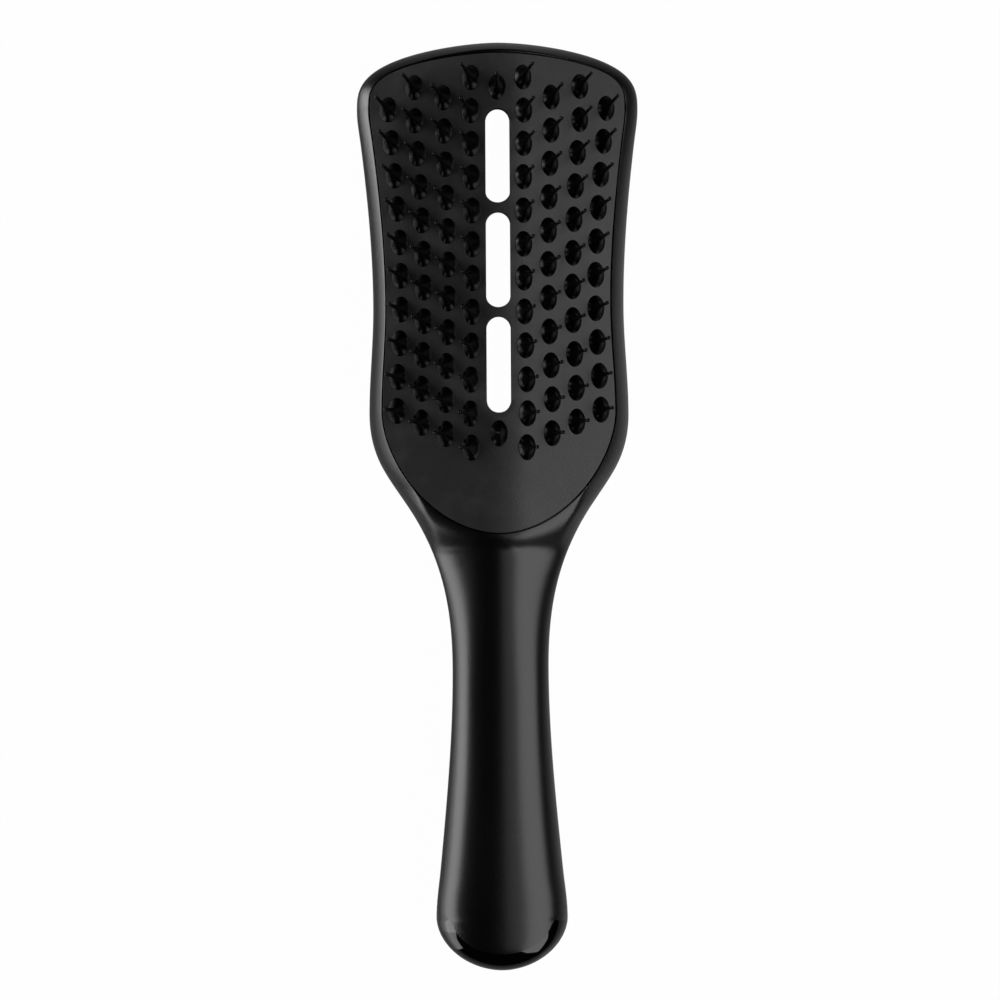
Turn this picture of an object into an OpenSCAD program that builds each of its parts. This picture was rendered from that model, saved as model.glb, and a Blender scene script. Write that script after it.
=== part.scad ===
// Vented hair brush: a satin front frame and a gloss rear shell close on each other,
// and one flexible moulding of pad and bristles sits in the head's recess.
// It lies on its back: X across, Y along with the head at +Y, Z up out of the bristles.

/* [Length] */
// Overall length, head tip to handle end
length = 245; // [238:1:260]
// Head tip to the widest line of the shoulders
shoulder_at = 17.7; // [15:0.1:20]
// Head tip to where the sides start to run straight
side_at = 26.5; // [24:0.5:30]
// Head tip to the waist of the head
waist_at = 70.5; // [64:0.5:76]
// Head tip to the lower bulge of the head
bulge_at = 98.5; // [94:0.5:102]
// Head tip to the middle of the neck
neck_at = 123.5; // [121:0.5:127]
// Share of the way from neck to handle end at which the grip is thinnest
grip_share = 0.348971; // [0.3:0.000001:0.4]
// Handle end to the palm swell
palm_at = 26.5; // [24:0.5:32]
// Handle end to the widest line of the butt
butt_at = 13.5; // [11:0.5:16]

/* [Width] */
// Widest part of the head, at the shoulders
shoulder_w = 74.7; // [70:0.1:80]
// Width where the sides start to run straight
side_w = 72.8; // [68:0.1:78]
// Width of the waist
waist_w = 66.4; // [62:0.1:70]
// Width of the lower bulge
bulge_w = 68.7; // [64:0.1:72]
// Width of the neck
neck_w = 47.8; // [42:0.1:52]
// Width of the grip at its thinnest
grip_w = 25.4; // [22:0.1:30]
// Width of the palm swell
palm_w = 32.3; // [29:0.1:36]
// Width of the butt
butt_w = 34.7; // [32:0.1:40]

/* [Height] */
// Ridge of the pad above the back, at the crown
crown_z = 21.5; // [20:0.1:24]
// Head tip to the crown
crown_at = 102.5; // [96:0.5:108]
// Bending radius of the head along its length
bend_r = 600; // [520:5:900]
// Radius of the ridge across the pad
ridge_r = 36; // [28:1:50]
// Slope of the pad to each side of the ridge, in degrees
slope = 12; // [8:0.5:14]
// Top of the handle just below the collar
neck_z = 18.4; // [17.5:0.1:19]
// Top of the handle at the grip
grip_z = 17.8; // [17:0.1:19]
// Top of the handle at the palm swell
palm_z = 20.6; // [19:0.1:22]
// Lift of the handle's back off the table, at the grip
arch_z = 1.6; // [0.5:0.1:2.4]
// Share of the edge's height at which the head is widest
waterline = 0.45; // [0.4:0.01:0.5]

/* [Shells] */
// Wall of both shells
wall = 2.2; // [1.8:0.1:2.4]
// Floor of the recess that carries the pad
tray_t = 1.8; // [1.5:0.1:2]
// Parting line below the widest line
part_drop = 0.6; // [0.3:0.1:0.9]
// Handle end to where the rear shell starts to climb to the front
wrap_at = 21.5; // [20:0.5:24]
// Length of that climb
wrap_len = 10; // [8:0.5:12]
// Height of the parting line after the climb
wrap_z = 16.2; // [15.5:0.1:16.6]
// Radius of the posts that join the shells, at their top
post_r = 2.6; // [2.2:0.1:3]
// Radius of the front frame's pegs
peg_r = 1.2; // [1:0.05:1.3]
// Length of the pegs below the front frame's inner face
peg_l = 3; // [2:0.1:3.5]
// Clearance round each peg in its post
peg_gap = 0.25; // [0.2:0.05:0.35]

/* [Pad] */
// Rim of the frame beside the pad
rim_side = 4; // [3.6:0.1:4.4]
// Rim of the frame above the pad
rim_top = 3.1; // [2.8:0.1:3.6]
// Head tip to the lower end of the pad
pad_end_at = 129.7; // [128:0.1:131]
// Thickness of the pad
pad_t = 1.8; // [1.5:0.1:2]
// Open line round the pad
pad_gap = 0.35; // [0.3:0.05:0.5]
// Clearance between the pad and the tray
seat_gap = 0.3; // [0.25:0.05:0.4]

/* [Vents] */
// Number of vents in a row
vent_n = 3; // [3]
// Head tip to the middle of the first vent
vent_at = 31; // [30:0.1:32]
// Distance from vent to vent
vent_pitch = 27.5; // [27:0.1:28]
// Length of each vent
vent_l = 25.1; // [24:0.1:25.4]
// Width of each vent
vent_w = 6.7; // [6:0.1:7.2]
// Setback of the shells' walls behind the pad's edge
vent_step = 0.5; // [0.4:0.05:0.55]
// Wall of the air tunnels
tunnel_t = 1.3; // [1.1:0.1:1.5]

/* [Bristles] */
// Distance from bristle to bristle along a column
bristle_pitch = 8.86; // [8.7:0.01:8.9]
// Height of a bristle
bristle_h = 13; // [11:0.1:14]
// Half the width of a bristle's foot
foot_r = 2.1; // [1.8:0.05:2.2]
// Length of the foot over its width
foot_oval = 1.5; // [1.3:0.05:1.55]
// Height of the hollow-sided foot
foot_h = 6.2; // [5:0.1:7]
// Radius at the top of the foot
stem_r = 0.52; // [0.45:0.01:0.6]
// Radius of the stem below the ball
stem_tip_r = 0.38; // [0.35:0.01:0.42]
// Radius of the ball at the tip
ball_r = 0.52; // [0.45:0.01:0.55]
// Depth to which a foot runs into the pad
foot_sink = 0.9; // [0.7:0.05:1.1]

/* [Hidden] */

y_tip = length / 2;
y_end = -length / 2;
function from_tip(d) = y_tip - d;
function from_end(d) = y_end + d;

function mix(a, b, t) = a + (b - a) * t;
function ease(t) = t <= 0 ? 0 : t >= 1 ? 1 : t * t * (3 - 2 * t);

shoulder_y = from_tip(shoulder_at);
bulge_y = from_tip(bulge_at);
neck_y = from_tip(neck_at);
grip_y = mix(neck_y, y_end, grip_share);
palm_y = from_end(palm_at);
butt_y = from_end(butt_at);

// Roundness of the curves that close the head, the handle and the pad
head_n = 2.15;
head_m = 2.55;
butt_n = 1.88;
chin_n = 1.77;

// Half outline between shoulders and butt: place, half width, slope
side_slope = 0.125;
neck_slope = 0.66;
palm_slope = -0.098;
outline_knots = [
  [shoulder_y, shoulder_w / 2, 0],
  [from_tip(side_at), side_w / 2, side_slope],
  [from_tip(waist_at), waist_w / 2, 0],
  [bulge_y, bulge_w / 2, 0],
  [neck_y, neck_w / 2, neck_slope],
  [grip_y, grip_w / 2, 0],
  [palm_y, palm_w / 2, palm_slope],
  [butt_y, butt_w / 2, 0]
];

// Smooth curve through knots that fall in Y
function span(knots, y, i = 0) =
  i >= len(knots) - 2 || y >= knots[i + 1][0] ? i : span(knots, y, i + 1);
function hermite(a, b, y) =
  let(h = b[0] - a[0], t = (y - a[0]) / h)
  a[1] * (2 * t^3 - 3 * t^2 + 1) + b[1] * (3 * t^2 - 2 * t^3)
  + h * (a[2] * (t^3 - 2 * t^2 + t) + b[2] * (t^3 - t^2));
function curve(knots, y) = let(i = span(knots, y)) hermite(knots[i], knots[i + 1], y);

// Corner of a rounded end, a from 0 at its widest line to 90 at its tip
function lobe(w, y0, h, a, n, m) = [w * pow(cos(a), 2 / n), y0 + h * pow(sin(a), 2 / m)];

// Right half of the brush's outline, from the head's tip to the handle's end
function outline(cap_n, side_n, butt_steps) = concat(
  [for (i = [0:cap_n - 1])
    lobe(shoulder_w / 2, shoulder_y, shoulder_at, 90 * (1 - i / cap_n), head_n, head_m)],
  [for (i = [0:side_n - 1])
    let(y = mix(shoulder_y, butt_y, i / side_n)) [curve(outline_knots, y), y]],
  [for (i = [0:butt_steps])
    lobe(butt_w / 2, butt_y, -butt_at, 90 * i / butt_steps, butt_n, butt_n)]
);
outer_outline = outline(9, 22, 7);
inner_outline = outline(5, 11, 4);

// Pad outline: the head's own outline less its rim, closed by a fuller curve below
pad_end_y = from_tip(pad_end_at);
pad_steps = 10;
function pad_side(y) = curve(outline_knots, min(y, shoulder_y)) - rim_side;
chin_w = pad_side(bulge_y);
function pad_points(gap) = concat(
  [for (i = [0:pad_steps - 1])
    lobe(pad_side(shoulder_y) - gap, shoulder_y, shoulder_at - rim_top - gap,
      90 * (1 - i / pad_steps), head_n, head_m)],
  [for (i = [0:pad_steps - 1])
    let(y = mix(shoulder_y, bulge_y, (i + 0.5) / pad_steps)) [pad_side(y) - gap, y]],
  [for (i = [0:pad_steps])
    lobe(chin_w - gap, bulge_y, pad_end_y - bulge_y + gap, 90 * i / pad_steps, chin_n, chin_n)]
);
module pad_outline(gap = 0) {
  half = pad_points(gap);
  polygon(concat(half, [for (i = [len(half) - 2:-1:1]) [-half[i][0], half[i][1]]]));
}

// Drop of the pad's roof beside its ridge
ridge_half = ridge_r * sin(slope);
function roof(x) =
  abs(x) < ridge_half ? ridge_r - sqrt(ridge_r^2 - x^2)
  : ridge_r * (1 - cos(slope)) + (abs(x) - ridge_half) * tan(slope);
crown_y = from_tip(crown_at);
// Height of the bent roof over the back
function roof_z(x, y) = crown_z - bend_r + sqrt((bend_r - roof(x))^2 - (y - crown_y)^2);

// Line of the handle's top, and of its back
top_end_drop = 0.3;
back_end_lift = 0.4;
handle_y = from_tip(neck_at + 12);
handle_knots = [
  [handle_y, neck_z, 0.05],
  [grip_y, grip_z, 0],
  [palm_y, palm_z, -0.01],
  [y_end, palm_z - top_end_drop, 0]
];
back_knots = [
  [neck_y, 0, 0],
  [grip_y, arch_z, 0],
  [palm_y, 0, 0],
  [y_end, back_end_lift, 0]
];
// The collar: a short step down from the pad to the handle
collar_lead = 1.1;
collar_len = 5;
collar_y = pad_end_y - collar_lead;
function handleness(y) = ease((collar_y - y) / collar_len);
function top_z(x, y) =
  mix(roof_z(x * (1 - handleness(y)), max(y, collar_y - collar_len)),
      curve(handle_knots, min(y, handle_y)), handleness(y));
function back_z(y) = y > back_knots[0][0] ? 0 : curve(back_knots, y);

// Spine that the rings of the body close on
spine_hi = from_tip(24.5);
function spine(p) = [0, min(max(p[1], butt_y), spine_hi)];

// Share of the half width that the rim rounds over: narrow on the head, all of it on the handle
blend_hi = from_tip(114.5);
blend_len = 22;
function neckness(y) = ease((blend_hi - y) / blend_len);
rim_share = 0.11;
function round_share(y) = mix(rim_share, 1, neckness(y));
// Share of the half width that the flanks of the back round over
head_flank = 0.76;
neck_flank = 0.92;
function flank(y) = mix(head_flank, neck_flank, neckness(y));

// Height of the widest line at an outline point
function edge_z(p) =
  let(q = mix(p, spine(p), rim_share))
  mix(waterline * top_z(q[0], q[1]), (top_z(0, p[1]) + back_z(p[1])) / 2, neckness(p[1]));

function arc_share(e) = e >= 1 ? 1 : sqrt(1 - (1 - e)^2);
// A point of the skin: t runs from 0 at the outline to 1 at the spine
function front_point(p, t, inset, drop) =
  let(s = spine(p), t0 = inset / norm(p - s), q = mix(p, s, t0 + (1 - t0) * t), z0 = edge_z(p))
  [q[0], q[1], z0 + (top_z(q[0], q[1]) - drop - z0) * arc_share(t / round_share(p[1]))];
function back_point(p, t, inset, rise) =
  let(s = spine(p), t0 = inset / norm(p - s), q = mix(p, s, t0 + (1 - t0) * t), z0 = edge_z(p))
  [q[0], q[1], z0 + (back_z(q[1]) + rise - z0) * arc_share(t / flank(p[1]))];

// Places of the rings: close together round the rim and the flanks
last_turn = 83;
head_top_t = 0.8;
head_back_t = 0.86;
neck_back_t = 0.95;
function front_t(k, n, b) =
  mix(k <= n - 2 ? rim_share * (1 - cos(90 * k / (n - 2))) : mix(rim_share, head_top_t, (k - n + 2) / 2),
      1 - cos(last_turn * k / n), b);
function back_t(k, n, b) =
  k < n ? mix(head_flank, neck_flank, b) * (1 - cos(90 * k / (n - 1)))
  : mix(head_back_t, neck_back_t, b);

// Two triangles across the spine, or one at an end where two corners meet
function strip(a, b, c, d) = concat(a == c ? [] : [[a, c, b]], b == d ? [] : [[b, c, d]]);
// Closed skin: rings on the front and on the back share the widest line
module skin(half, front_n, back_n, inset = 0, drop = 0, head_drop = 0, rise = 0) {
  n = len(half);
  m = 2 * n - 2;
  loop = concat(half, [for (i = [n - 2:-1:1]) [-half[i][0], half[i][1]]]);
  front = [for (k = [0:front_n]) for (p = loop)
    let(b = neckness(p[1]))
    front_point(p, front_t(k, front_n, b), inset, drop + head_drop * (1 - b))];
  back = [for (k = [1:back_n]) for (p = loop)
    let(b = neckness(p[1]))
    back_point(p, back_t(k, back_n, b), inset, rise)];
  function fv(k, i) = k * m + (i + m) % m;
  function bv(k, i) = k == 0 ? fv(0, i) : (front_n + k) * m + (i + m) % m;
  faces = concat(
    [for (k = [0:front_n - 1]) for (i = [0:m - 1]) each
      [[fv(k, i), fv(k + 1, i), fv(k + 1, i + 1)], [fv(k, i), fv(k + 1, i + 1), fv(k, i + 1)]]],
    [for (k = [0:back_n - 1]) for (i = [0:m - 1]) each
      [[bv(k, i), bv(k + 1, i + 1), bv(k + 1, i)], [bv(k, i), bv(k, i + 1), bv(k + 1, i + 1)]]],
    [for (i = [0:n - 2])
      each strip(fv(front_n, i), fv(front_n, i + 1), fv(front_n, -i), fv(front_n, -i - 1))],
    [for (i = [0:n - 2])
      each strip(bv(back_n, -i), bv(back_n, -i - 1), bv(back_n, i), bv(back_n, i + 1))]
  );
  polyhedron(points = concat(front, back), faces = [for (f = faces) [f[2], f[1], f[0]]]);
}
module outer_skin() {
  skin(outer_outline, 7, 7);
}
// The hollow between the shells, deeper under the tray
module hollow() {
  skin(inner_outline, 5, 4, wall, wall, tray_drop - wall, wall);
}

// Line that parts the two shells, seen from the side
wrap_rise = 0.12;
function part_z(p) =
  let(w = ease((from_end(wrap_at) - p[1]) / wrap_len))
  mix(edge_z(p) - part_drop, wrap_z + wrap_rise * max(0, from_end(wrap_at - wrap_len) - p[1]), w);
// Half size of the cutting bodies, and how far they run past the brush's ends
reach = 60;
past = 5;
module above_parting() {
  n = len(outer_outline);
  line = [for (i = [0:n - 2]) mix(outer_outline[i], outer_outline[i + 1], 0.5)];
  rotate([90, 0, 90]) linear_extrude(2 * reach, center = true)
    polygon(concat(
      [[y_tip + past, reach], [y_tip + past, part_z(outer_outline[0])]],
      [for (p = line) [p[1], part_z(p)]],
      [[y_end - past, part_z(outer_outline[n - 1])], [y_end - past, reach]]));
}

// One stadium-shaped vent, square to the bent pad, grown by a margin
vent_half = (vent_l - vent_w) / 2;
function vent_y(i) = from_tip(vent_at + i * vent_pitch);
function pitch_angle(y) = -asin((y - crown_y) / bend_r);
module at_vent(i) {
  translate([0, vent_y(i), roof_z(0, vent_y(i))]) rotate([pitch_angle(vent_y(i)), 0, 0])
    children();
}
module vent(i, grow, low = -reach / 2, high = reach / 4) {
  at_vent(i) hull()
    for (s = [-1, 1])
      translate([0, s * vent_half, low]) cylinder(r = vent_w / 2 + grow, h = high - low, $fn = 24);
}
module vents(grow) {
  for (i = [0:vent_n - 1]) vent(i, grow);
}
// The air tunnels stand in the rear shell's floor and stop just under the tray
module tunnels() {
  intersection() {
    for (i = [0:vent_n - 1])
      vent(i, vent_step + tunnel_t, -reach / 2, -tray_drop - roof(vent_w) - seat_gap);
    translate([-reach / 2, -reach / 2, wall / 2]) cube([reach, length, reach]);
  }
}

recess = pad_t + seat_gap;
tray_drop = recess + tray_t;
// Inner face of the front frame
function under_z(x, y) = top_z(x, y) - mix(tray_drop, wall, neckness(y));

// Posts beside the vents and along the handle: place across, place along
function along_handle(share) = mix(neck_y, y_end, share);
post_x = 19.5;
head_post_y = [from_tip(62), from_tip(94)];
first_post = 0.300412;
post_pitch = 0.19753;
handle_post_y = [for (i = [0:2]) along_handle(first_post + i * post_pitch)];
post_places = concat(
  [for (y = head_post_y) for (side = [1, -1]) [side * post_x, y]],
  [for (y = handle_post_y) [0, y]]);
module at_post(p) {
  translate([p[0], p[1], under_z(p[0], p[1])]) children();
}
// A peg of the front frame: rooted in its floor, tapered towards its free end
peg_root = 1;
peg_taper = 0.85;
disc = 0.5;
module peg(r, l) {
  hull() {
    translate([0, 0, -l]) cylinder(r = r * peg_taper, h = disc, $fn = 12);
    cylinder(r = r, h = peg_root, $fn = 12);
  }
}
// A post of the rear shell: it widens from under the front frame to the shell's floor
post_spread = 1.2;
module post(depth) {
  hull() {
    translate([0, 0, -2 * disc - seat_gap]) cylinder(r = post_r, h = disc, $fn = 16);
    translate([0, 0, -depth]) cylinder(r = post_r * post_spread, h = disc, $fn = 16);
  }
}

module front_frame() {
  color([0.10, 0.10, 0.105]) difference() {
    union() {
      intersection() {
        difference() {
          outer_skin();
          hollow();
        }
        above_parting();
      }
      for (p = post_places) at_post(p) peg(peg_r, peg_l);
    }
    intersection() {
      linear_extrude(reach) pad_outline();
      pad_roof(-recess, reach / 3);
    }
    vents(vent_step);
  }
}
front_frame();

module rear_shell() {
  color([0.05, 0.05, 0.055]) difference() {
    union() {
      difference() {
        outer_skin();
        hollow();
        above_parting();
      }
      tunnels();
      for (p = post_places) at_post(p) post(under_z(p[0], p[1]) - back_z(p[1]) - wall / 2);
    }
    vents(vent_step);
    for (p = post_places) at_post(p) peg(peg_r + peg_gap, peg_l + peg_gap);
  }
}
rear_shell();

// Slab under the bent roof, from low to high above the roof's surface
roof_edge = shoulder_w / 2 + 2;
ridge_steps = 7;
module pad_roof(low, high) {
  steps = [-roof_edge,
    for (i = [0:ridge_steps]) ridge_half * (2 * i / ridge_steps - 1),
    roof_edge];
  translate([0, crown_y, crown_z - bend_r]) rotate([0, 90, 0])
    rotate_extrude($fn = 360)
      polygon(concat(
        [for (x = steps) [bend_r - roof(x) + low, x]],
        [for (i = [len(steps) - 1:-1:0]) [bend_r - roof(steps[i]) + high, steps[i]]]));
}

// Columns of bristles beside the vents: share of the half width, fan, first place, count
columns = [
  [0.205, 0.045, 10.2, 12],
  [0.425, 0.04, 15.4, 11],
  [0.655, 0.018, 12.4, 11],
  [0.862, 0.02, 18.1, 10]
];
centre_places = [12.9, 104];
// The columns fan out towards the handle from here, over this length
fan_y = from_tip(10);
fan_len = 96;
function column_x(c, y) = pad_side(y) * (c[0] + c[1] * (fan_y - y) / fan_len);

// One bristle: a hollow-sided oval foot, a thin stem and a ball at its tip
stem_root_r = stem_r + 0.1;
module bristle() {
  flare = foot_r - stem_r;
  hollow_r = (flare^2 + foot_h^2) / (2 * flare);
  ball_z = bristle_h - ball_r;
  scale([1, foot_oval, 1]) rotate_extrude($fn = 32) difference() {
    translate([0, -foot_sink]) square([foot_r, foot_h + foot_sink]);
    translate([stem_r + hollow_r, foot_h]) circle(r = hollow_r, $fn = 64);
  }
  translate([0, 0, foot_h / 2])
    cylinder(r1 = stem_root_r, r2 = stem_tip_r, h = ball_z - foot_h / 2, $fn = 16);
  translate([0, 0, ball_z]) sphere(r = ball_r, $fn = 16);
}
// Stands a bristle on the roof, square to it
function side_lean(x) = abs(x) < ridge_half ? asin(x / ridge_r) : sign(x) * slope;
module on_pad(x, y) {
  translate([x, y, roof_z(x, y)])
    rotate([pitch_angle(y), 0, 0]) rotate([0, side_lean(x), 0]) bristle();
}
// The pad's own vent has true round ends
module pad_vent(i) {
  at_vent(i) {
    for (s = [-1, 1])
      translate([0, s * vent_half, -reach / 4]) cylinder(r = vent_w / 2, h = reach / 2, $fn = 48);
    translate([-vent_w / 2, -vent_half, -reach / 4]) cube([vent_w, 2 * vent_half, reach / 2]);
  }
}
module bristle_pad() {
  color([0.13, 0.13, 0.135]) difference() {
    union() {
      intersection() {
        linear_extrude(reach) pad_outline(pad_gap);
        pad_roof(-pad_t, 0);
      }
      for (c = columns) for (i = [0:c[3] - 1]) for (side = [-1, 1])
        let(y = from_tip(c[2] + i * bristle_pitch)) on_pad(side * column_x(c, y), y);
      for (d = centre_places) on_pad(0, from_tip(d));
    }
    for (i = [0:vent_n - 1]) pad_vent(i);
  }
}
bristle_pad();
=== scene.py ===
from math import asin, cos, hypot, pi, radians, sin, sqrt
import bmesh
import bpy
from mathutils import Euler, Matrix, Vector


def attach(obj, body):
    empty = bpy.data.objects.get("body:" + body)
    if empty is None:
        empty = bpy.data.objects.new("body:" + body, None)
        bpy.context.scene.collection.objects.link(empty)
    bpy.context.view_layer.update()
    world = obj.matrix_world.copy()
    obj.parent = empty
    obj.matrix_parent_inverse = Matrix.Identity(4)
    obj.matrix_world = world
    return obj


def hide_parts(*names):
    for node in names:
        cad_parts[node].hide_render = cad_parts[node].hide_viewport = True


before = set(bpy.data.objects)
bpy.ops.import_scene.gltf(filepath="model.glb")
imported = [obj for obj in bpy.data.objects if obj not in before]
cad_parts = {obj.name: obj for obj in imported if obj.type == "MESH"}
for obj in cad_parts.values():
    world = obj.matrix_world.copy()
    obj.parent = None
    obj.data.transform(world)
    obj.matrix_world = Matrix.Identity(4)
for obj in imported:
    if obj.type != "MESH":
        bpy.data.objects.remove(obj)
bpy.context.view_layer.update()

# Front frame: one satin black moulding that is the front half of the handle, the collar,
# the steep rim round the pad and the recessed tray under it. It closes on the rear shell
# along a fine line below its widest edge. All sizes here are in millimetres.
mm = 0.001
brush_length = 245.0
tip_y = brush_length / 2
end_y = -brush_length / 2
shoulder_at = 17.7
butt_at = 13.5
shoulder_y = tip_y - shoulder_at
butt_y = end_y + butt_at
waist_y = tip_y - 70.5
bulge_y = tip_y - 98.5
shoulder_half = 74.7 / 2
butt_half = 34.7 / 2
crown_y = tip_y - 102.5
crown_z = 21.5
bend_radius = 600.0
ridge_radius = 36.0
roof_slope = radians(12)
ridge_half = ridge_radius * sin(roof_slope)
rim_side = 3.5
rim_shoulder = 3.3
rim_top = 3.3
pad_end_y = tip_y - 130.25
head_round = (1.7, 3.0)
pad_round = (1.7, 3.3)
butt_round = 1.88
chin_round = (1.9, 1.7)
parting_drop = 0.6
wrap_y = end_y + 21.5
wrap_run = 10.0
wrap_z = 17.2
wrap_rise = 0.26
nose_lift = 3.6
collar_end_y = tip_y - 135.6
collar_bend = 1.2
collar_side_y = tip_y - 117.0
collar_lead = 0.5
chin_rim_y = tip_y - 118.5
roof_ends = tip_y - 175.0
blend_y = tip_y - 114.5
blend_run = 22.0
spine_top = tip_y - 24.5
waterline = 0.45
rim_share = 0.11
rim_arc = 0.41
bow_gain = 2.2
head_flank = 0.76
handle_flank = 0.92
halvings = 40
parting_halvings = 30
parting_from = -pi / 3
parting_to = pi / 2.2
tiny = 1e-6
path_pieces = 800
top_round_share = 0.85
chin_side_share = 0.1
weld = 0.002
sliver = 0.0005

side_knots = [
    (shoulder_y, shoulder_half, 0.0),
    (tip_y - 26.5, 72.8 / 2, 0.125),
    (waist_y, 66.4 / 2, 0.0),
    (bulge_y, 68.7 / 2, 0.0),
    (tip_y - 110.3, 64.2 / 2, 0.42),
    (tip_y - 123.5, 47.8 / 2, 0.66),
    (end_y + 79.1, 25.4 / 2, 0.0),
    (end_y + 26.5, 32.3 / 2, -0.098),
    (butt_y, butt_half, 0.0),
]
front_knots = [
    (tip_y - 135.5, 18.4, 0.05),
    (end_y + 79.1, 17.8, 0.0),
    (end_y + 26.5, 20.6, -0.01),
    (end_y, 20.3, 0.0),
]
back_knots = [
    (tip_y - 123.5, 0.0, 0.0),
    (end_y + 79.1, 1.6, 0.0),
    (end_y + 26.5, 0.0, 0.0),
    (end_y, 0.4, 0.0),
]


def mix(a, b, share):
    return a + (b - a) * share


def ease(share):
    share = min(max(share, 0.0), 1.0)
    return share * share * (3 - 2 * share)


def along(knots, y):
    """Value at y of a smooth curve through knots of place, value and slope."""
    last = len(knots) - 2
    at = next((i for i in range(last) if y >= knots[i + 1][0]), last)
    (y_a, a, slope_a), (y_b, b, slope_b) = knots[at], knots[at + 1]
    run = y_b - y_a
    t = (y - y_a) / run
    return (a * (2 * t**3 - 3 * t**2 + 1) + b * (3 * t**2 - 2 * t**3)
            + run * (slope_a * (t**3 - 2 * t**2 + t) + slope_b * (t**3 - t**2)))


def rounded_end(depth, half, reach, across, down):
    """Half width of a rounded end, at a depth beyond its widest line."""
    return half * max(0.0, 1 - min(1.0, depth / reach) ** down) ** (1 / across)


def half_width(y):
    if y > shoulder_y:
        return rounded_end(y - shoulder_y, shoulder_half, shoulder_at, *head_round)
    if y < butt_y:
        return rounded_end(butt_y - y, butt_half, butt_at, butt_round, butt_round)
    return along(side_knots, y)


def pad_half(y, gap=0.0):
    if y > shoulder_y:
        return rounded_end(y - shoulder_y, shoulder_half - rim_shoulder - gap,
                           shoulder_at - rim_top - gap, *pad_round)
    if y < bulge_y:
        return rounded_end(bulge_y - y, along(side_knots, bulge_y) - rim_side - gap,
                           bulge_y - pad_end_y - gap, *chin_round)
    widening = ease((y - waist_y) / (shoulder_y - waist_y))
    return along(side_knots, y) - mix(rim_side, rim_shoulder, widening) - gap


def roof_drop(x):
    """How far the pad lies below its middle line: a rounded ridge, then an even slope."""
    x = abs(x)
    if x < ridge_half:
        return ridge_radius - sqrt(ridge_radius**2 - x**2)
    slope = (x - ridge_half) * sin(roof_slope) / cos(roof_slope)
    return ridge_radius * (1 - cos(roof_slope)) + slope


def roof_z(x, y):
    return crown_z - bend_radius + sqrt((bend_radius - roof_drop(x))**2 - (y - crown_y)**2)


def chin_y(x):
    """The pad's lower edge."""
    chin_half = along(side_knots, bulge_y) - rim_side
    if abs(x) >= chin_half:
        return bulge_y
    across, down = chin_round
    return bulge_y - (bulge_y - pad_end_y) * (1 - (abs(x) / chin_half)**across)**(1 / down)


def handleness(x, y):
    """Share of the handle's own height: none at the pad's chin, all of it below the collar."""
    from_y = min(chin_y(x) + collar_lead, collar_side_y)
    return ease(max(0.0, (from_y - y) / (from_y - collar_end_y))**collar_bend)


def neckness(y):
    return ease((blend_y - y) / blend_run)


def handle_z(x, y):
    top = along(front_knots, min(y, front_knots[0][0]))
    return top - roof_drop(x) * ease((y - roof_ends) / (pad_end_y - roof_ends))


def front_z(x, y):
    return mix(roof_z(x, y), handle_z(x, y), handleness(x, y))


def back_z(y):
    return 0.0 if y > back_knots[0][0] else along(back_knots, y)


def spine_home(y):
    """The spine's nearest place to y; it ends short of both rounded ends."""
    return min(max(y, butt_y), spine_top)


def on_outline(x, y):
    """Where the line from the spine through a place meets the outline, and the share left."""
    home = spine_home(y)
    if home == y:
        half = half_width(y)
        return half, y, 1 - abs(x) / half
    run = hypot(x, y - home)
    if run < tiny:
        return 0.0, tip_y if y > 0 else end_y, 1.0
    right, up = abs(x) / run, (y - home) / run
    near, far = 0.0, (tip_y - home if up > 0 else end_y - home) / up
    for _ in range(halvings):
        middle = (near + far) / 2
        if half_width(home + middle * up) > middle * right:
            near = middle
        else:
            far = middle
    return near * right, home + near * up, 1 - run / near


def edge_z(x, y):
    """Height of the widest line at a place of the outline; it climbs round the handle's end."""
    home = spine_home(y)
    rim_x, rim_y = mix(x, 0.0, rim_share), mix(y, home, rim_share)
    level = mix(waterline * front_z(rim_x, rim_y), (front_z(0, y) + back_z(y)) / 2, neckness(y))
    return level + nose_lift * ease((butt_y - y) / butt_at)


def arc(share):
    share = min(max(share, 0.0), 1.0)
    return sqrt(1 - (1 - share)**2)


def rim_end(y):
    """Share of the way from outline to spine at which the rim meets the pad's opening."""
    if y > shoulder_y:
        return rim_share
    y = max(y, chin_rim_y)
    return 1 - pad_half(y) / half_width(y)


def skin_front(x, y):
    edge_x, edge_y, share = on_outline(x, y)
    low = edge_z(edge_x, edge_y)
    bend = mix(rim_arc, 1.0, ease(bow_gain * neckness(edge_y)))
    rise = arc(bend * min(1.0, share / rim_end(edge_y))) / arc(bend)
    head = low + (roof_z(x, y) - low) * rise
    handle = low + (handle_z(x, y) - low) * arc(share)
    return mix(head, handle, handleness(x, y))


def flank_share(y):
    """Share of the way from outline to spine over which the back rounds down to its land."""
    return mix(head_flank, handle_flank, neckness(y))


def skin_back(x, y):
    edge_x, edge_y, share = on_outline(x, y)
    low = edge_z(edge_x, edge_y)
    return low + (back_z(y) - low) * arc(share / flank_share(edge_y))


def parting_z(x, y):
    climb = ease((wrap_y - y) / wrap_run)
    edge_x, edge_y, _ = on_outline(x, y)
    return mix(edge_z(edge_x, edge_y) - parting_drop,
               wrap_z + wrap_rise * max(0.0, wrap_y - wrap_run - y), climb)


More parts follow.
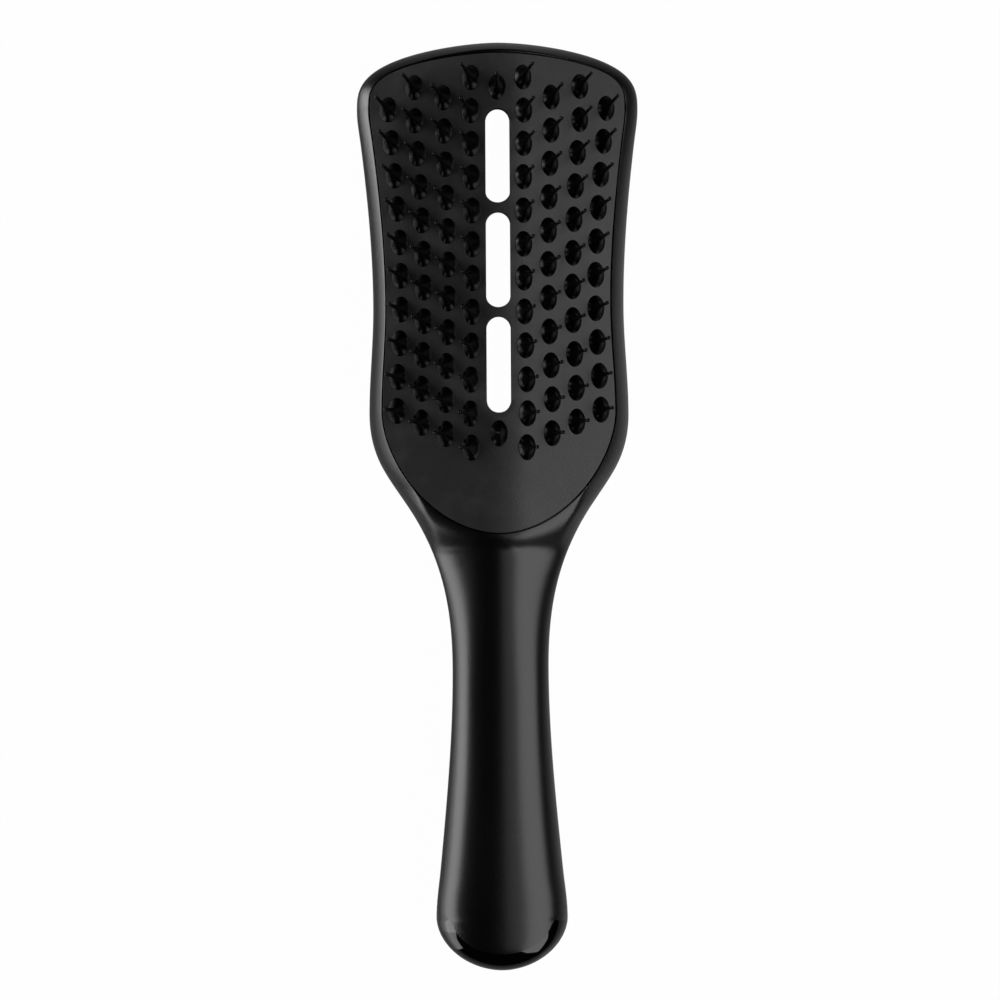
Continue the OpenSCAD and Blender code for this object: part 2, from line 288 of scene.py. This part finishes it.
def even_steps(path, count):
    """Evenly spaced places on a path that runs from share 0 to share 1."""
    fine = [path(i / path_pieces) for i in range(path_pieces + 1)]
    runs = [0.0]
    for a, b in zip(fine, fine[1:]):
        runs.append(runs[-1] + hypot(b[0] - a[0], b[1] - a[1]))
    places, at = [], 0
    for step in range(count + 1):
        goal = runs[-1] * step / count
        while at < path_pieces - 1 and runs[at + 1] < goal:
            at += 1
        share = (goal - runs[at]) / (runs[at + 1] - runs[at])
        places.append((mix(fine[at][0], fine[at + 1][0], share),
                       mix(fine[at][1], fine[at + 1][1], share)))
    return places


def round_top(half, reach, bend, first_y):
    """Path round the head's top, from its middle to first_y on the side."""
    def path(share):
        if share > top_round_share:
            down = (share - top_round_share) / (1 - top_round_share)
            y = mix(shoulder_y, first_y, down)
            return half(y), y
        turn = pi / 2 * (1 - share / top_round_share)
        return (half(shoulder_y) * cos(turn)**(2 / bend[0]),
                shoulder_y + reach * sin(turn)**(2 / bend[1]))
    return path


# The front frame's three air vents are slots with round ends that all pieces share. They
# follow the lines of sight from above, so each lies a little further out the lower it is.
vent_middles = [tip_y - 31.0, tip_y - 58.5, tip_y - 86.0]
vent_half = 6.7 / 2
vent_splay = 1 / 780
vent_straight = (25.1 - 6.7) / 2
vent_steps = 12
bar_steps = 8
end_steps = 40
slot_play = 0.5
side_first = vent_middles[0] + vent_straight
side_last = vent_middles[-1] - vent_straight


def vent_tilt(middle):
    """How far a vent runs towards the head's tip for each millimetre down."""
    return vent_splay * middle


def vent_marks(depth):
    """Places of the vents' straight stretches, at a depth below the pad's face or on the back."""
    marks = []
    for middle in vent_middles:
        down = roof_z(0, middle) if depth is None else depth
        marks += [middle + vent_straight + down * vent_tilt(middle),
                  middle - vent_straight + down * vent_tilt(middle)]
    return marks


def side_shares():
    """Row by row down the vents: the stretch between two marks, and the share of it."""
    shares = []
    for stretch in range(2 * len(vent_middles) - 1):
        steps = bar_steps if stretch % 2 else vent_steps
        shares += [(stretch, step / steps) for step in range(steps)]
    return shares


def slot_line(depth, grow):
    """Right half of the line round all the vents, from the top one's top to the last's end."""
    marks = vent_marks(depth)
    half = vent_half + grow
    line = []
    for step in range(end_steps):
        turn = pi / 2 * (1 - step / end_steps)
        line.append((half * cos(turn), marks[0] + half * sin(turn)))
    for stretch, share in side_shares():
        line.append((half, mix(marks[stretch], marks[stretch + 1], share)))
    for step in range(end_steps + 1):
        turn = pi / 2 * step / end_steps
        line.append((half * cos(turn), marks[-1] - half * sin(turn)))
    return line


def pad_line(gap):
    """Right half of the pad's outline, row for row beside the slots' line."""
    marks = vent_marks(0.0)
    line = even_steps(round_top(lambda y: pad_half(y, gap), shoulder_at - rim_top - gap,
                                pad_round, side_first), end_steps)[:-1]
    for stretch, share in side_shares():
        y = mix(marks[stretch], marks[stretch + 1], share)
        line.append((pad_half(y, gap), y))

    def chin(share):
        if share < chin_side_share:
            y = mix(side_last, bulge_y, share / chin_side_share)
            return pad_half(y, gap), y
        turn = pi / 2 * (share - chin_side_share) / (1 - chin_side_share)
        return (pad_half(bulge_y, gap) * cos(turn)**(2 / chin_round[0]),
                bulge_y - (bulge_y - pad_end_y - gap) * sin(turn)**(2 / chin_round[1]))
    return line + even_steps(chin, end_steps)


def weave(bm, rows, columns, place):
    """A sheet of quads, rows by columns, with each corner moved to place(row, column)."""
    made = bmesh.ops.create_grid(bm, x_segments=rows, y_segments=columns, size=0.5)
    for corner in made["verts"]:
        row = round((corner.co.x + 0.5) * rows)
        column = round((corner.co.y + 0.5) * columns)
        corner.co = place(row, column)


def weave_bars(bm, depth, grow, height):
    """The bars that part the vents, from the middle line to the slots' side."""
    marks = vent_marks(depth)
    half = vent_half + grow
    for bar in range(len(vent_middles) - 1):
        def place(row, column):
            turn = pi / 2 * row / bar_steps
            x, bow = half * sin(turn), half * cos(turn)
            y = mix(marks[2 * bar + 1] - bow, marks[2 * bar + 2] + bow, column / bar_steps)
            return Vector((x, y, height(x, y)))
        weave(bm, bar_steps, bar_steps, place)


def both_halves(bm):
    """Closes the right half, mirrors it and turns every face outwards."""
    bmesh.ops.remove_doubles(bm, verts=bm.verts, dist=weld)
    bmesh.ops.mirror(bm, geom=bm.verts[:] + bm.edges[:] + bm.faces[:], axis="X", merge_dist=weld)
    bmesh.ops.remove_doubles(bm, verts=bm.verts, dist=weld)
    bmesh.ops.dissolve_degenerate(bm, edges=bm.edges, dist=sliver)
    bmesh.ops.recalc_face_normals(bm, faces=bm.faces)


def face_up(bm, probe):
    """Turns the whole sheet over if the face nearest the probe looks away from it."""
    face = min(bm.faces, key=lambda f: (f.calc_center_median() - probe[0]).length)
    if face.normal.dot(probe[1]) < 0:
        bmesh.ops.reverse_faces(bm, faces=bm.faces)


def soften(bm, radius, steps, sharp=radians(50)):
    """Rounds the sharp edges."""
    bm.normal_update()
    edges = [edge for edge in bm.edges if len(edge.link_faces) == 2
             and edge.calc_face_angle(0.0) > sharp]
    bmesh.ops.bevel(bm, geom=edges, offset=radius, offset_type="OFFSET", affect="EDGES",
                    segments=steps, profile=0.5, material=-1, clamp_overlap=True)


def thicken(bm, wall, ceiling=None):
    """Gives the sheet its wall, on its inner side, kept under a ceiling."""
    bm.normal_update()
    facing = {tuple(corner.co): corner.normal.copy() for corner in bm.verts}
    inner = bmesh.ops.extrude_face_region(bm, geom=bm.faces[:], use_keep_orig=True)["geom"]
    for corner in inner:
        if isinstance(corner, bmesh.types.BMVert):
            corner.co -= facing[tuple(corner.co)] * wall
            if ceiling:
                corner.co.z = min(corner.co.z, ceiling(corner.co.x, corner.co.y))
    bmesh.ops.recalc_face_normals(bm, faces=bm.faces)


def finished_piece(name, bm, node, smooth=radians(38)):
    """Mesh object in metres at the origin, riding on the brush in place of its CAD node."""
    bmesh.ops.scale(bm, vec=(mm, mm, mm), verts=bm.verts)
    mesh = bpy.data.meshes.new(name)
    bm.to_mesh(mesh)
    bm.free()
    mesh.shade_smooth()
    mesh.set_sharp_from_angle(angle=smooth)
    piece = bpy.data.objects.new(name, mesh)
    bpy.context.scene.collection.objects.link(piece)
    piece.modifiers.new("face_weight", "WEIGHTED_NORMAL").keep_sharp = True
    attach(piece, "root")
    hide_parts(node)
    return piece


recess = 2.1
frame_wall = 1.8
front_columns = 26
handle_steps = 70
butt_steps = 26
foot_low_y = -22.0
chin_fan = 1.5
handle_fan = 3
tray_columns = 8
tray_cover = 0.6
soft_edge = 0.22
edge_steps = 3

opening_line = pad_line(0.0)
tray_slots = slot_line(recess, slot_play)


def outward(x, y):
    """Outline place that faces a place of the pad's opening, above the chin."""
    if y <= spine_top:
        return half_width(y), y
    edge_x, edge_y, _ = on_outline(x, y)
    return edge_x, edge_y


# Rows of the front, each from the outline to the pad's opening or to the spine
front_rows = []
chin_from = len(opening_line) - 1 - end_steps
for row, (x, y) in enumerate(opening_line):
    if row <= chin_from:
        front_rows.append((outward(x, y), (x, y)))
    else:
        edge_y = mix(side_last, foot_low_y, ((row - chin_from) / end_steps)**chin_fan)
        front_rows.append(((half_width(edge_y), edge_y), (x, y)))
for step in range(1, handle_steps + 1):
    share = step / handle_steps
    spine_y = mix(pad_end_y, butt_y, share)
    edge_y = spine_y + (foot_low_y - pad_end_y) * (1 - share)**handle_fan
    front_rows.append(((half_width(edge_y), edge_y), (0.0, spine_y)))
for step in range(1, butt_steps + 1):
    turn = pi / 2 * step / butt_steps
    edge = (butt_half * max(0.0, cos(turn))**(2 / butt_round),
            butt_y - butt_at * sin(turn)**(2 / butt_round))
    front_rows.append((edge, (0.0, butt_y)))


def around(rows, row, turn):
    """Point of the skin at a turn from the widest line: up the front, or down the back."""
    (edge_x, edge_y), (x, y) = rows[row]
    share = 1 - cos(turn)
    if turn < 0:
        share *= flank_share(edge_y)
        x, y = 0.0, spine_home(edge_y)
    x, y = mix(edge_x, x, share), mix(edge_y, y, share)
    return Vector((x, y, skin_front(x, y) if turn >= 0 else skin_back(x, y)))


def parting_turn(rows, row):
    """Turn at which the skin crosses the parting line."""
    low, high = parting_from, parting_to
    for _ in range(parting_halvings):
        middle = (low + high) / 2
        point = around(rows, row, middle)
        if point.z < parting_z(point.x, point.y):
            low = middle
        else:
            high = middle
    return low


bm = bmesh.new()
front_seams = [parting_turn(front_rows, row) for row in range(len(front_rows))]
weave(bm, len(front_rows) - 1, front_columns, lambda row, column: around(
    front_rows, row, mix(front_seams[row], pi / 2, column / front_columns)))


def tray_point(row, column):
    """Down the recess's wall, then over the tray to the slots."""
    (x, y), slot = opening_line[row], tray_slots[row]
    if column < 2:
        return Vector((x, y, skin_front(x, y) if column == 0 else front_z(x, y) - recess))
    share = (column - 1) / (tray_columns - 1)
    x, y = mix(x, slot[0], share), mix(y, slot[1], share)
    return Vector((x, y, front_z(x, y) - recess))


weave(bm, len(opening_line) - 1, tray_columns, tray_point)
weave_bars(bm, recess, slot_play, lambda x, y: front_z(x, y) - recess)
both_halves(bm)
face_up(bm, (Vector((0.0, -60.0, 18.0)), Vector((0.0, 0.0, 1.0))))
soften(bm, soft_edge, edge_steps)
thicken(bm, frame_wall, lambda x, y: skin_front(x, y) - tray_cover)
front_frame = finished_piece("front_frame_shell", bm, "front_frame")


class Signal:
    """A socket of a finish, on which Python's signs add Math nodes."""

    def __init__(self, finish, socket):
        self.finish = finish
        self.socket = socket

    def _math(self, operation, first, second):
        return self.finish.node("ShaderNodeMath", {"operation": operation}, {0: first, 1: second})

    def __add__(self, other):
        return self._math("ADD", self, other)

    def __radd__(self, other):
        return self._math("ADD", other, self)

    def __mul__(self, other):
        return self._math("MULTIPLY", self, other)


class Finish:
    """A material in the making."""

    def __init__(self, name):
        self.material = bpy.data.materials.new(name)
        self.material.use_nodes = True
        self.tree = self.material.node_tree
        self.tree.nodes.clear()

    def node(self, kind, settings=None, inputs=None, output=0):
        """A node with its settings, then the values or links of its sockets; gives its output."""
        node = self.tree.nodes.new(kind)
        for name, value in (settings or {}).items():
            setattr(node, name, value)
        for name, value in (inputs or {}).items():
            if isinstance(value, Signal):
                self.tree.links.new(value.socket, node.inputs[name])
            else:
                node.inputs[name].default_value = value
        return Signal(self, node.outputs[output]) if node.outputs else None

    def place(self):
        return self.node("ShaderNodeTexCoord", output="Object")

    def noise(self, place, scale, detail=2.0, roughness=0.5):
        return self.node("ShaderNodeTexNoise", None, {
            "Vector": place, "Scale": scale, "Detail": detail, "Roughness": roughness})

    def ramp(self, signal, low, high, dark=0.0, bright=1.0):
        return self.node("ShaderNodeMapRange", {"clamp": True}, {
            "Value": signal, "From Min": low, "From Max": high, "To Min": dark, "To Max": bright})

    def surface(self, shader):
        self.node("ShaderNodeOutputMaterial", None, {"Surface": shader})

    def plastic(self, colour, roughness, normal, level=0.5):
        """The plastic itself; what varies over it comes in as signals."""
        return self.node("ShaderNodeBsdfPrincipled", None, {
            "Base Color": colour, "Roughness": roughness, "Normal": normal,
            "IOR": 1.5, "Specular IOR Level": level})


def shade_between(finish, share, dark, light):
    """Colour that drifts between two shades."""
    return finish.node("ShaderNodeMix", {"data_type": "RGBA"}, {
        "Factor": share, 6: (*dark, 1.0), 7: (*light, 1.0)}, output=2)


# Satin finish: fine even grain of the mould, with faint handling marks
satin = Finish("satin_black_plastic")
spot = satin.place()
grain = satin.noise(spot, 2600.0, 2.0, 0.6)
handling = satin.ramp(satin.noise(spot, 38.0, 4.0, 0.55), 0.35, 0.7)
satin_bump = satin.node("ShaderNodeBump", None, {
    "Height": grain, "Strength": 0.25, "Distance": 0.0001})
satin.surface(satin.plastic(
    shade_between(satin, handling, (0.0007, 0.0007, 0.00075), (0.0014, 0.0014, 0.0015)),
    satin.ramp(grain, 0.2, 0.8, 0.22, 0.27) + handling * 0.015, satin_bump))
front_frame.data.materials.append(satin.material)

# Rear shell: one gloss black moulding that is the back half of the handle and head, with
# the walls of the three air vents. At the handle's end it climbs round to the front, where
# the finish changes from satin to gloss along a bowed line.
shell_wall = 1.8
tunnel_play = 0.4
back_columns = 24
land_columns = 4
back_steps = handle_steps + 20
back_fan = 4
shell_edge = 0.3
slot_reach = 6.0
slot_ceiling = 2.0
slot_beyond = 5.0
back_slots = slot_line(None, slot_play)
slots_end = len(back_slots) - 1 - end_steps
top_edge = even_steps(round_top(half_width, shoulder_at, head_round, back_slots[end_steps][1]),
                      end_steps)

# Rows of the back, each from the outline to the slots' line or to the spine
back_rows = []
for row in range(slots_end + 1):
    x, y = back_slots[row]
    back_rows.append((top_edge[row] if row <= end_steps else (half_width(y), y), (x, y)))
arc_low_y = 12.0
for step in range(1, end_steps + 1):
    edge_y = mix(back_slots[slots_end][1], arc_low_y, step / end_steps)
    back_rows.append(((half_width(edge_y), edge_y), back_slots[slots_end + step]))
spine_from = back_slots[-1][1]
for step in range(1, back_steps + 1):
    share = step / back_steps
    spine_y = mix(spine_from, butt_y, share)
    edge_y = spine_y + (arc_low_y - spine_from) * (1 - share)**back_fan
    back_rows.append(((half_width(edge_y), edge_y), (0.0, spine_y)))
back_rows += front_rows[-butt_steps:]


def under(row, column):
    """From the parting line down round the flank, then over the flat land to the slots."""
    (edge_x, edge_y), (x, y) = back_rows[row]
    if column <= back_columns:
        turn = mix(back_seams[row], -pi / 2, column / back_columns)
        point = around(back_rows, row, turn)
        if turn >= 0:
            return point
        # The flank runs to the spine, and leans over to the slots' line as it nears the land
        lean = ease(-turn / (pi / 2))
        share = (1 - cos(turn)) * flank_share(edge_y)
        to_x, to_y = mix(0.0, x, lean), mix(spine_home(edge_y), y, lean)
        x, y = mix(edge_x, to_x, share), mix(edge_y, to_y, share)
    else:
        share = mix(flank_share(edge_y), 1.0, (column - back_columns) / land_columns)
        x, y = mix(edge_x, x, share), mix(edge_y, y, share)
    return Vector((x, y, skin_back(x, y)))


bm = bmesh.new()
back_seams = [parting_turn(back_rows, row) for row in range(len(back_rows))]
weave(bm, len(back_rows) - 1, back_columns + land_columns, under)
weave_bars(bm, None, slot_play, skin_back)
both_halves(bm)
face_up(bm, (Vector((12.0, 60.0, 0.0)), Vector((0.0, 0.0, -1.0))))

# The vents' walls rise along the same lines of sight, and stop just under the tray
for middle in vent_middles:
    low_y = middle + roof_z(0, middle) * vent_tilt(middle)
    loop = [edge for edge in bm.edges if edge.is_boundary and all(
        abs(end.co.x) < slot_reach and end.co.z < slot_ceiling
        and abs(end.co.y - low_y) < vent_straight + slot_beyond for end in edge.verts)]
    risen = bmesh.ops.extrude_edge_only(bm, edges=loop)["geom"]
    for corner in risen:
        if isinstance(corner, bmesh.types.BMVert):
            rise = roof_z(0, middle) - recess - frame_wall - tunnel_play - corner.co.z
            corner.co += Vector((0.0, -rise * vent_tilt(middle), rise))
soften(bm, shell_edge, edge_steps)
thicken(bm, shell_wall)
rear_shell = finished_piece("rear_shell_gloss", bm, "rear_shell")

# Gloss finish: polished mould, with a few fine scuffs
gloss = Finish("gloss_black_plastic")
spot = gloss.place()
scuffs = gloss.ramp(gloss.noise(spot, 420.0, 5.0, 0.65), 0.55, 0.8)
gloss_bump = gloss.node("ShaderNodeBump", None, {
    "Height": gloss.noise(spot, 60.0, 2.0), "Strength": 0.04, "Distance": 0.0002})
gloss.surface(gloss.plastic(
    shade_between(gloss, scuffs, (0.0006, 0.0006, 0.00065), (0.0012, 0.0012, 0.0013)),
    0.05 + scuffs * 0.05, gloss_bump))
rear_shell.data.materials.append(gloss.material)

# Bristle pad: one soft satin moulding. Its sheet bends with the head, has softly rounded
# edges and carries the three vents; it lies in the tray with a fine open line round it.
pad_gap = 0.35
pad_thick = 1.8
pad_columns = 16
pad_edge = pad_line(pad_gap)
pad_slots = slot_line(0.0, 0.0)


def pad_point(row, column):
    """From the pad's edge over its face to the slots."""
    share = column / pad_columns
    x = mix(pad_edge[row][0], pad_slots[row][0], share)
    y = mix(pad_edge[row][1], pad_slots[row][1], share)
    return Vector((x, y, roof_z(x, y)))


bm = bmesh.new()
weave(bm, len(pad_edge) - 1, pad_columns, pad_point)
weave_bars(bm, 0.0, 0.0, roof_z)
both_halves(bm)
face_up(bm, (Vector((12.0, 60.0, 18.0)), Vector((0.0, 0.0, 1.0))))
thicken(bm, pad_thick)
soften(bm, soft_edge, edge_steps)
pad_sheet = finished_piece("pad_sheet", bm, "bristle_pad")

# Soft finish: fine matt grain, with faint smudges where it has been wiped; its colour is painted
# lighter than the bristles' of the same moulding, as painted sheen
soft = Finish("soft_black_pad_painted_sheen")
spot = soft.place()
smudge = soft.ramp(soft.noise(spot, 55.0, 3.0, 0.6), 0.45, 0.75)
soft_grain = soft.noise(spot, 2700.0, 2.0, 0.6)
soft_bump = soft.node("ShaderNodeBump", None, {
    "Height": soft_grain, "Strength": 0.45, "Distance": 0.0001})
# Painted sheen: the pad's whole colour is set lighter than the bristles' to stand in for the
# light's sheen on it; the smudges only drift it at random
soft.surface(soft.plastic(
    shade_between(soft, smudge, (0.012, 0.012, 0.0125), (0.028, 0.028, 0.0285)),
    soft.ramp(soft_grain, 0.2, 0.8, 0.34, 0.42) + smudge * 0.04, soft_bump))
pad_sheet.data.materials.append(soft.material)

# Bristles: ninety, moulded in one with the pad. Each has an oval foot with hollow sides, a
# thin stem and a small ball at its tip, and stands square to the bent, sloping pad.
bristle_height = 13.0
bristle_foot = 2.3
foot_oval = 1.5
foot_height = 6.2
stem_radius = 0.52
stem_top = 0.38
ball_radius = 0.52
foot_sink = 0.9
foot_flare = 0.3
foot_flare_z = 0.15
foot_flare_run = 0.7
bristle_pitch = 8.86
bristle_sides = 24
foot_steps = 9
ball_steps = 5
ball_from = -0.24 * pi
stem_below_ball = 1.0
foot_lip = (0.1, 0.05)
bristle_weld = 0.001
# Each column: share of the pad's half width, its fan, first place and number
bristle_columns = [
    (0.205, 0.045, 10.2, 12),
    (0.425, 0.04, 15.4, 11),
    (0.655, 0.018, 12.4, 11),
    (0.862, 0.02, 18.1, 10),
]
centre_bristles = [12.9, 104.0]
fan_from = tip_y - 10.0
fan_run = 96.0
columns_rim = 4.0

bm = bmesh.new()
flare = bristle_foot - foot_flare - stem_radius
hollow = (flare**2 + foot_height**2) / (2 * flare)
profile = [(0.0, -foot_sink), (bristle_foot, -foot_sink), (bristle_foot, 0.0),
           (bristle_foot - foot_lip[0], foot_lip[1])]
hollow_turn = asin((foot_height - foot_flare_z) / hollow)
for step in range(foot_steps + 1):
    turn = hollow_turn * (1 - step / foot_steps)
    height = foot_height - hollow * sin(turn)
    radius = stem_radius + hollow - hollow * cos(turn)
    flare_share = max(0.0, 1 - (height - foot_flare_z) / foot_flare_run)
    profile.append((radius + foot_flare * flare_share**2, height))
ball_z = bristle_height - ball_radius
profile.append((stem_top, ball_z - stem_below_ball))
for step in range(ball_steps + 1):
    turn = mix(ball_from, 0.5 * pi, step / ball_steps)
    radius = ball_radius * cos(turn) if step < ball_steps else 0.0
    profile.append((radius, ball_z + ball_radius * sin(turn)))
corners = [bm.verts.new((x, 0.0, z)) for x, z in profile]
for a, b in zip(corners, corners[1:]):
    bm.edges.new((a, b))
bmesh.ops.spin(bm, geom=bm.verts[:] + bm.edges[:], cent=(0, 0, 0), axis=(0, 0, 1),
               dvec=(0, 0, 0), angle=2 * pi, steps=bristle_sides, use_merge=True,
               use_duplicate=False)
bmesh.ops.remove_doubles(bm, verts=bm.verts, dist=bristle_weld)
for corner in bm.verts:
    if corner.co.z > 0:
        corner.co.y *= mix(foot_oval, 1.0, ease(corner.co.z / foot_height))
    else:
        corner.co.y *= foot_oval
bmesh.ops.recalc_face_normals(bm, faces=bm.faces)
bristle_mesh = bpy.data.meshes.new("bristle_pattern")
bm.to_mesh(bristle_mesh)
bm.free()

places = []
for share, fan, first, count in bristle_columns:
    for step in range(count):
        y = tip_y - first - step * bristle_pitch
        half = along(side_knots, min(y, shoulder_y)) - columns_rim
        x = half * (share + fan * (fan_from - y) / fan_run)
        places += [(x, y), (-x, y)]
places += [(0.0, tip_y - down) for down in centre_bristles]

bm = bmesh.new()
for x, y in places:
    if abs(x) < ridge_half:
        side_lean = asin(x / ridge_radius)
    else:
        side_lean = roof_slope if x > 0 else -roof_slope
    fresh = len(bm.verts)
    bm.from_mesh(bristle_mesh)
    bm.verts.ensure_lookup_table()
    stand = (Matrix.Translation((x, y, roof_z(x, y)))
             @ Euler((-asin((y - crown_y) / bend_radius), 0.0, 0.0)).to_matrix().to_4x4()
             @ Euler((0.0, side_lean, 0.0)).to_matrix().to_4x4())
    bmesh.ops.transform(bm, matrix=stand, verts=bm.verts[fresh:])
bpy.data.meshes.remove(bristle_mesh)
bristles = finished_piece("pad_bristles", bm, "bristle_pad", smooth=radians(50))

# Bristles' finish: the same black moulding, polished in the tool
slick = Finish("polished_black_bristle")
spot = slick.place()
slick_bump = slick.node("ShaderNodeBump", None, {
    "Height": slick.noise(spot, 900.0, 2.0), "Strength": 0.05, "Distance": 0.0001})
slick.surface(slick.plastic(
    shade_between(slick, slick.ramp(slick.noise(spot, 90.0), 0.4, 0.7),
                  (0.0004, 0.0004, 0.00045), (0.0008, 0.0008, 0.00085)),
    slick.ramp(slick.noise(spot, 300.0), 0.3, 0.7, 0.24, 0.30), slick_bump, 0.14))
bristles.data.materials.append(slick.material)

# Studio: a pale floor that keeps the shadow, three bright strips low on the left, a broad
# dimmer panel with a faint fill on the right, and the camera straight above.
scene = bpy.context.scene
scene.view_settings.view_transform = "Standard"
floor_half = 3.0
floor_z = -0.0002
paper_glow = 0.985
paper_colour = (0.5, 0.5, 0.5, 1.0)
room_colour = (0.004, 0.004, 0.004, 1.0)

bm = bmesh.new()
bmesh.ops.create_grid(bm, x_segments=1, y_segments=1, size=floor_half)
bmesh.ops.translate(bm, verts=bm.verts, vec=(0.0, 0.0, floor_z))
mesh = bpy.data.meshes.new("floor")
bm.to_mesh(mesh)
bm.free()
floor = bpy.data.objects.new("floor", mesh)
scene.collection.objects.link(floor)

paper = Finish("pale_floor")
seen = paper.node("ShaderNodeLightPath", None, None, output="Is Camera Ray")
through = paper.node("ShaderNodeLightPath", None, None, output="Is Transmission Ray")
matt = paper.node("ShaderNodeBsdfPrincipled", None, {
    "Base Color": paper_colour, "Roughness": 0.18, "IOR": 1.5})
glow = paper.node("ShaderNodeEmission", None, {"Color": (1.0, 1.0, 1.0, 1.0), "Strength": 1.0})
paper.surface(paper.node("ShaderNodeMixShader", None, {
    0: (seen + through) * paper_glow, 1: matt, 2: glow}))
floor.data.materials.append(paper.material)

world = bpy.data.worlds.new("studio_room")
world.use_nodes = True
world.node_tree.nodes["Background"].inputs["Color"].default_value = room_colour
world.node_tree.nodes["Background"].inputs["Strength"].default_value = 1.0
scene.world = world


def panel(name, middle, aim_z, width, reach, power):
    """Soft rectangular light whose long side runs along the brush."""
    lamp = bpy.data.lights.new(name, "AREA")
    lamp.shape = "RECTANGLE"
    lamp.size, lamp.size_y = width, reach
    lamp.energy = power
    light = bpy.data.objects.new(name, lamp)
    back = Vector((middle[0], 0.0, middle[2] - aim_z)).normalized()
    along_brush = Vector((0.0, 1.0, 0.0))
    turn = Matrix((along_brush.cross(back), along_brush, back)).transposed()
    light.matrix_world = Matrix.Translation(middle) @ turn.to_4x4()
    scene.collection.objects.link(light)


panel("left_strip", (-1.0, 0.1, 0.265), 0.265, 0.53, 1.2, 9.2)
panel("left_upper", (-0.98, 0.4, 0.265), 0.265, 0.53, 0.7, 3.0)
panel("left_foot", (-1.0, -0.81, 0.2), 0.2, 0.4, 0.62, 2.2)
panel("right_panel", (0.78, -0.4, 0.72), 0.0, 0.8, 2.2, 14.0)
panel("right_fill", (0.35, -0.4, 1.3), 0.0, 0.5, 2.0, 2.0)

film_width = 36.0
sight_run = 792.0
seen_width = 264.9
camera_place = (0.00011, 0.00114, 0.8)
camera_turn = radians(-0.355)
lens = bpy.data.cameras.new("front_camera")
camera = bpy.data.objects.new("front_camera", lens)
lens.sensor_width = film_width
lens.lens = film_width * sight_run / seen_width
camera.location = camera_place
camera.rotation_euler = (0.0, 0.0, camera_turn)
scene.collection.objects.link(camera)
scene.camera = camera
